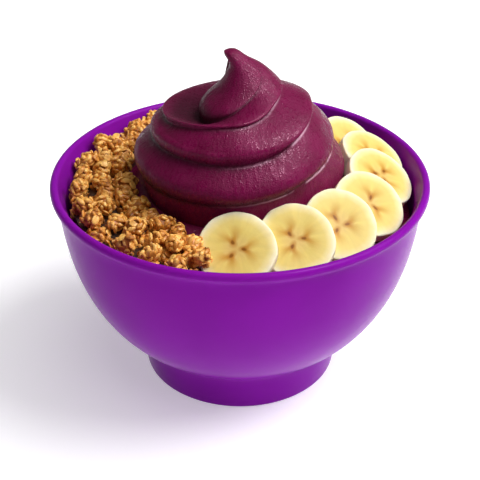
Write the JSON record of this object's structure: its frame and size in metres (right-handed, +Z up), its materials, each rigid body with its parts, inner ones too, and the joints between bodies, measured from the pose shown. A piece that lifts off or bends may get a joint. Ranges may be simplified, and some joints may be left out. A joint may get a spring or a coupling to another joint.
{
  "type": "acai bowl",
  "caption": "Footed round bowl filled with acai puree piped into a swirl, topped with overlapping banana slices and a heap of granola.",
  "frame": {"origin": "centre of the foot's underside, on the surface the bowl stands on", "axes": "+Z up along the bowl's axis; -Y is the front, where the first banana slice and the granola's near end meet; +X to the right, the banana side"},
  "size_m": [0.1498, 0.1498, 0.1393],
  "materials": {
    "bowl_glaze": "glossy purple glaze",
    "acai": "moist dark berry puree with a soft sheen",
    "granola": "toasted oats, matt with glossy honey spots",
    "banana": "moist banana flesh, pale outside and yellow inside"
  },
  "bodies": {
    "root": {"bowl": "bowl_glaze", "acai": "acai", "granola": "granola", "banana_1": "banana", "banana_2": "banana", "banana_3": "banana", "banana_4": "banana", "banana_5": "banana", "banana_6": "banana", "banana_7": "banana"}
  },
  "joints": []
}
